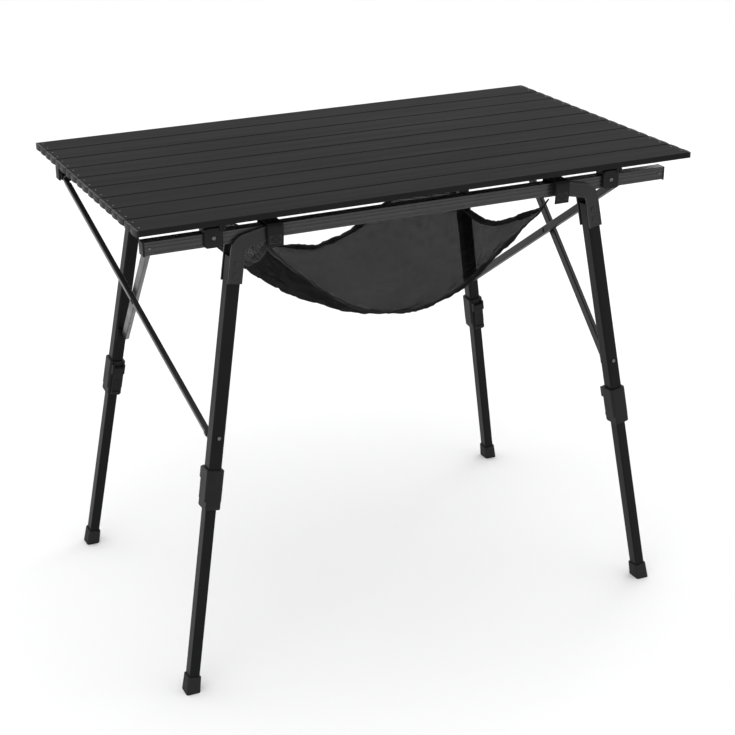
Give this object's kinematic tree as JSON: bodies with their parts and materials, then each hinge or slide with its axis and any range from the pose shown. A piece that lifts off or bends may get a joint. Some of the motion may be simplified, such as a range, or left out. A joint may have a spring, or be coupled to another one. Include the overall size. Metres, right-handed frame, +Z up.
{
  "type": "folding camp kitchen table",
  "caption": "Folding camp kitchen table: roll-up slatted top on two rails, splayed telescopic legs with flip locks, crossed end braces and a hanging mesh basket.",
  "frame": {"origin": "on the ground under the middle of the top, the bottom centre of the bounding box", "axes": "+X along the top, +Y towards the rear rail, +Z up"},
  "size_m": [0.8998, 0.5464, 0.735],
  "materials": {
    "slat": "satin black anodised",
    "rail": "satin black anodised",
    "tube": "satin black anodised",
    "knee": "satin black paint",
    "brace": "satin black paint",
    "plastic": "black nylon",
    "cap": "black nylon",
    "foot": "black rubber",
    "mesh": "black open mesh",
    "webbing": "black webbing"
  },
  "bodies": {
    "frame": {"front_rail": "rail", "front_rail_plugs": "plastic", "front_clips": "plastic", "slat_1": "slat", "slat_caps_1": "cap", "mesh_basket": "mesh", "front_straps": "webbing", "rear_rail": "rail", "rear_rail_plugs": "plastic", "rear_clips": "plastic", "rear_straps": "webbing", "knee_bracket_front_left": "knee", "upper_leg_front_left": "tube", "lock_sleeve_front_left": "plastic", "brace_front_left": "brace", "knee_bracket_front_right": "knee", "upper_leg_front_right": "tube", "lock_sleeve_front_right": "plastic", "brace_front_right": "brace", "knee_bracket_rear_left": "knee", "upper_leg_rear_left": "tube", "lock_sleeve_rear_left": "plastic", "brace_rear_left": "brace", "knee_bracket_rear_right": "knee", "upper_leg_rear_right": "tube", "lock_sleeve_rear_right": "plastic", "brace_rear_right": "brace"},
    "slat_2_body": {"slat_2": "slat", "slat_caps_2": "cap"},
    "slat_3_body": {"slat_3": "slat", "slat_caps_3": "cap"},
    "slat_4_body": {"slat_4": "slat", "slat_caps_4": "cap"},
    "slat_5_body": {"slat_5": "slat", "slat_caps_5": "cap"},
    "slat_6_body": {"slat_6": "slat", "slat_caps_6": "cap"},
    "slat_7_body": {"slat_7": "slat", "slat_caps_7": "cap"},
    "slat_8_body": {"slat_8": "slat", "slat_caps_8": "cap"},
    "slat_9_body": {"slat_9": "slat", "slat_caps_9": "cap"},
    "shin_front_left": {"lower_leg_front_left": "tube", "foot_front_left": "foot"},
    "lever_front_left": {"lock_lever_front_left": "plastic"},
    "knob_front_left": {"latch_knob_front_left": "plastic"},
    "shin_front_right": {"lower_leg_front_right": "tube", "foot_front_right": "foot"},
    "lever_front_right": {"lock_lever_front_right": "plastic"},
    "knob_front_right": {"latch_knob_front_right": "plastic"},
    "shin_rear_left": {"lower_leg_rear_left": "tube", "foot_rear_left": "foot"},
    "lever_rear_left": {"lock_lever_rear_left": "plastic"},
    "knob_rear_left": {"latch_knob_rear_left": "plastic"},
    "shin_rear_right": {"lower_leg_rear_right": "tube", "foot_rear_right": "foot"},
    "lever_rear_right": {"lock_lever_rear_right": "plastic"},
    "knob_rear_right": {"latch_knob_rear_right": "plastic"}
  },
  "joints": [
    {"name": "top_roll", "type": "hinge", "parent": "frame", "child": "slat_2_body", "pos_m": [0, -0.2002, 0.735], "axis": [1, 0, 0], "range_deg": [0, 38]},
    {"name": "top_roll_3", "type": "hinge", "parent": "slat_2_body", "child": "slat_3_body", "pos_m": [0, -0.143, 0.735], "axis": [1, 0, 0], "range_deg": [0, 38]},
    {"name": "top_roll_4", "type": "hinge", "parent": "slat_3_body", "child": "slat_4_body", "pos_m": [0, -0.0858, 0.735], "axis": [1, 0, 0], "range_deg": [0, 38]},
    {"name": "top_roll_5", "type": "hinge", "parent": "slat_4_body", "child": "slat_5_body", "pos_m": [0, -0.0286, 0.735], "axis": [1, 0, 0], "range_deg": [0, 38]},
    {"name": "top_roll_6", "type": "hinge", "parent": "slat_5_body", "child": "slat_6_body", "pos_m": [0, 0.0286, 0.735], "axis": [1, 0, 0], "range_deg": [0, 38]},
    {"name": "top_roll_7", "type": "hinge", "parent": "slat_6_body", "child": "slat_7_body", "pos_m": [0, 0.0858, 0.735], "axis": [1, 0, 0], "range_deg": [0, 38]},
    {"name": "top_roll_8", "type": "hinge", "parent": "slat_7_body", "child": "slat_8_body", "pos_m": [0, 0.143, 0.735], "axis": [1, 0, 0], "range_deg": [0, 38]},
    {"name": "top_roll_9", "type": "hinge", "parent": "slat_8_body", "child": "slat_9_body", "pos_m": [0, 0.2002, 0.735], "axis": [1, 0, 0], "range_deg": [0, 38]},
    {"name": "leg_height_front_left", "type": "slide", "parent": "frame", "child": "shin_front_left", "axis": [0.1662, 0.0715, 0.9835], "range_m": [0, 0.245]},
    {"name": "lever_front_left", "type": "hinge", "parent": "frame", "child": "lever_front_left", "pos_m": [-0.34846, -0.21611, 0.33906], "axis": [-0.9861, 0.012, 0.1658], "range_deg": [-110, 0]},
    {"name": "knob_turn_front_left", "type": "hinge", "parent": "frame", "child": "knob_front_left", "pos_m": [-0.31355, -0.2185, 0.713], "axis": [0, -1, 0], "range_deg": [-90, 0]},
    {"name": "leg_height_front_right", "type": "slide", "parent": "frame", "child": "shin_front_right", "axis": [-0.1662, 0.0715, 0.9835], "range_m": [0, 0.245]},
    {"name": "lever_front_right", "type": "hinge", "parent": "frame", "child": "lever_front_right", "pos_m": [0.34846, -0.21611, 0.33906], "axis": [-0.9861, -0.012, -0.1658], "range_deg": [-110, 0]},
    {"name": "knob_turn_front_right", "type": "hinge", "parent": "frame", "child": "knob_front_right", "pos_m": [0.33954, -0.2185, 0.713], "axis": [0, -1, 0], "range_deg": [-90, 0]},
    {"name": "leg_height_rear_left", "type": "slide", "parent": "frame", "child": "shin_rear_left", "axis": [0.1662, -0.0715, 0.9835], "range_m": [0, 0.245]},
    {"name": "lever_rear_left", "type": "hinge", "parent": "frame", "child": "lever_rear_left", "pos_m": [-0.34846, 0.21611, 0.33906], "axis": [0.9861, 0.012, -0.1658], "range_deg": [-110, 0]},
    {"name": "knob_turn_rear_left", "type": "hinge", "parent": "frame", "child": "knob_rear_left", "pos_m": [-0.33954, 0.2185, 0.713], "axis": [0, 1, 0], "range_deg": [-90, 0]},
    {"name": "leg_height_rear_right", "type": "slide", "parent": "frame", "child": "shin_rear_right", "axis": [-0.1662, -0.0715, 0.9835], "range_m": [0, 0.245]},
    {"name": "lever_rear_right", "type": "hinge", "parent": "frame", "child": "lever_rear_right", "pos_m": [0.34846, 0.21611, 0.33906], "axis": [0.9861, -0.012, 0.1658], "range_deg": [-110, 0]},
    {"name": "knob_turn_rear_right", "type": "hinge", "parent": "frame", "child": "knob_rear_right", "pos_m": [0.31355, 0.2185, 0.713], "axis": [0, 1, 0], "range_deg": [-90, 0]}
  ],
  "couplings": [
    {"joint": "top_roll_3", "follows": "top_roll", "ratio": 1},
    {"joint": "top_roll_4", "follows": "top_roll", "ratio": 1},
    {"joint": "top_roll_5", "follows": "top_roll", "ratio": 1},
    {"joint": "top_roll_6", "follows": "top_roll", "ratio": 1},
    {"joint": "top_roll_7", "follows": "top_roll", "ratio": 1},
    {"joint": "top_roll_8", "follows": "top_roll", "ratio": 1},
    {"joint": "top_roll_9", "follows": "top_roll", "ratio": 1}
  ]
}
